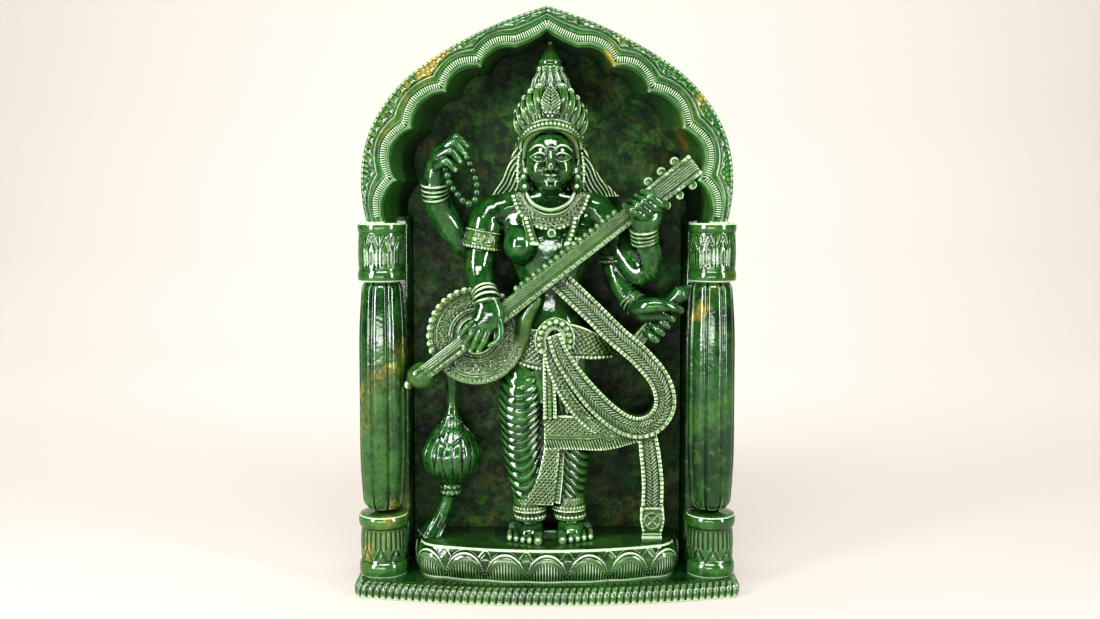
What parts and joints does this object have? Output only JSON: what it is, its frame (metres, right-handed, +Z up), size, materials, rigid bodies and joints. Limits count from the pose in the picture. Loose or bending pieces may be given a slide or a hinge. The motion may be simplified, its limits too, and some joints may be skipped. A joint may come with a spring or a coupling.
{
  "type": "carved stone relief sculpture",
  "caption": "Standing goddess with a long-necked lute, carved in high relief in a columned niche under a scalloped arch; stands on its flat base.",
  "frame": {"origin": "middle of the underside's bounding box, on the surface it stands on", "axes": "+Z up, +X to the viewer's right, the carved front faces -Y"},
  "size_m": [0.252, 0.088, 0.38],
  "materials": {
    "green_stone": "polished"
  },
  "bodies": {
    "root": {"saraswati_carving": "green_stone"}
  },
  "joints": []
}
